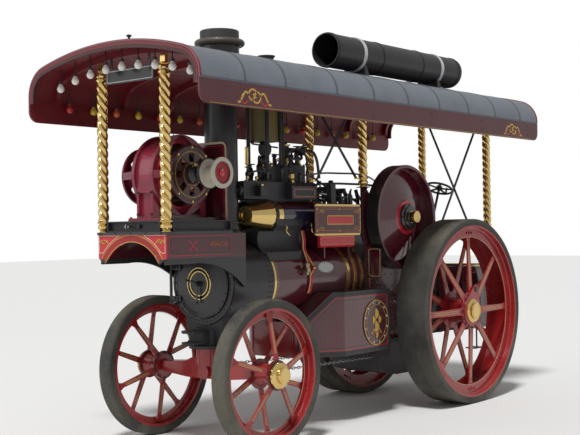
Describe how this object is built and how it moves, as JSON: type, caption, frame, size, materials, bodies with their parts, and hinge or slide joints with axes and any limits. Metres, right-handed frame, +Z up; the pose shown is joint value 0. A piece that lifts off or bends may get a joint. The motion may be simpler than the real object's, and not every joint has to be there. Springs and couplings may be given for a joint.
{
  "type": "showman's steam road locomotive",
  "caption": "Canopied steam traction engine with a front dynamo, twisted brass columns, belly tank and spoked road wheels, for pulling fairground loads and lighting rides.",
  "frame": {"origin": "on the ground under the middle of the whole engine", "axes": "+Z up, the front faces -Y, the engine's left side with the flywheel is +X"},
  "size_m": [2.26, 6.03, 4.0839],
  "materials": {
    "maroon_paint": "gloss paint with lining",
    "red_paint": "gloss paint with lining",
    "black_paint": "gloss black",
    "black_iron": "dark painted casting",
    "brass": "polished",
    "copper": "polished copper",
    "bright_steel": "bright oiled steel",
    "tyre": "worn rubber",
    "olive_paint": "satin",
    "roof_grey": "weathered grey sheet",
    "board_paint": "dull maroon boards",
    "inside_red": "satin red",
    "lamp_white": "frosted bulbs"
  },
  "bodies": {
    "engine": {"boiler_barrel": "maroon_paint", "boiler_bands": "brass", "smokebox": "black_paint", "chimney": "black_paint", "cylinder_block": "black_iron", "cylinder_covers": "brass", "cylinder_cladding": "maroon_paint", "boiler_fittings": "brass", "steam_trunk": "olive_paint", "motion_plates": "maroon_paint", "motion_rods": "bright_steel", "firebox": "black_iron", "hornplates": "maroon_paint", "footplate_controls": "brass", "shaft_bearings": "black_iron", "guards": "maroon_paint", "oil_boxes": "red_paint", "boiler_pipes": "copper", "belly_tank": "maroon_paint", "oval_plates": "brass", "ashpan": "black_iron", "perch_bracket": "black_iron", "couplings": "black_iron", "rear_axle": "bright_steel", "tender": "maroon_paint", "dynamo_platform": "maroon_paint", "dynamo_bed": "black_iron", "dynamo_body": "maroon_paint", "dynamo_panel": "maroon_paint", "number_plate": "black_paint", "canopy_roof": "roof_grey", "canopy_boards": "board_paint", "canopy_ribs": "inside_red", "columns": "brass", "column_fittings": "brass", "canopy_stays": "black_paint", "stored_chimney": "roof_grey", "canopy_lamps": "lamp_white", "steering_chains": "bright_steel"},
    "smokebox_door": {"smokebox_door": "black_paint"},
    "firehole_door": {"firehole_door": "black_iron"},
    "crank": {"crankshaft": "bright_steel", "flywheel": "maroon_paint"},
    "axle": {"front_axle": "red_paint"},
    "front_wheel_left": {"front_rim_left": "red_paint", "front_tyre_left": "tyre", "front_cap_left": "brass"},
    "front_wheel_right": {"front_rim_right": "red_paint", "front_tyre_right": "tyre", "front_cap_right": "brass"},
    "rear_wheel_left": {"rear_rim_left": "red_paint", "rear_tyre_left": "tyre", "rear_cap_left": "brass"},
    "rear_wheel_right": {"rear_rim_right": "red_paint", "rear_tyre_right": "tyre", "rear_cap_right": "brass"},
    "armature": {"dynamo_armature": "bright_steel"},
    "steering_wheel": {"hand_wheel": "black_paint", "steering_shaft": "black_paint"},
    "barrel": {"steering_barrel": "black_iron"}
  },
  "joints": [
    {"name": "steer", "type": "hinge", "parent": "engine", "child": "axle", "pos_m": [0, -1.76, 0.6985], "axis": [0, 0, 1], "range_deg": [-25, 25], "deforming": ["steering_chains"]},
    {"name": "front_left_spin", "type": "hinge", "parent": "axle", "child": "front_wheel_left", "pos_m": [0.748, -1.76, 0.6985], "axis": [1, 0, 0], "continuous": true},
    {"name": "front_right_spin", "type": "hinge", "parent": "axle", "child": "front_wheel_right", "pos_m": [-0.748, -1.76, 0.6985], "axis": [1, 0, 0], "continuous": true},
    {"name": "rear_left_spin", "type": "hinge", "parent": "engine", "child": "rear_wheel_left", "pos_m": [0.766, 1.695, 1.0665], "axis": [1, 0, 0], "continuous": true},
    {"name": "rear_right_spin", "type": "hinge", "parent": "engine", "child": "rear_wheel_right", "pos_m": [-0.766, 1.695, 1.0665], "axis": [1, 0, 0], "continuous": true},
    {"name": "crank_spin", "type": "hinge", "parent": "engine", "child": "crank", "pos_m": [0, 0.932, 2.163], "axis": [1, 0, 0], "continuous": true},
    {"name": "armature_spin", "type": "hinge", "parent": "engine", "child": "armature", "pos_m": [0, -2.305, 2.56], "axis": [1, 0, 0], "continuous": true},
    {"name": "smokebox_door_hinge", "type": "hinge", "parent": "engine", "child": "smokebox_door", "pos_m": [-0.39, -1.886, 1.534], "axis": [0, 0, 1], "range_deg": [-80, 0]},
    {"name": "firehole_door_hinge", "type": "hinge", "parent": "engine", "child": "firehole_door", "pos_m": [-0.215, 1.464, 1.414], "axis": [0, 0, 1], "range_deg": [0, 100]},
    {"name": "hand_wheel_turn", "type": "hinge", "parent": "engine", "child": "steering_wheel", "pos_m": [0.47, 1.746, 2.505], "axis": [0, 0.3966, 0.918], "range_deg": [-620, 620]},
    {"name": "barrel_turn", "type": "hinge", "parent": "engine", "child": "barrel", "pos_m": [0, 0.536, 0.69], "axis": [1, 0, 0], "range_deg": [-160, 160]}
  ],
  "couplings": [
    {"joint": "hand_wheel_turn", "follows": "steer", "ratio": 24},
    {"joint": "barrel_turn", "follows": "steer", "ratio": 6.2857}
  ]
}
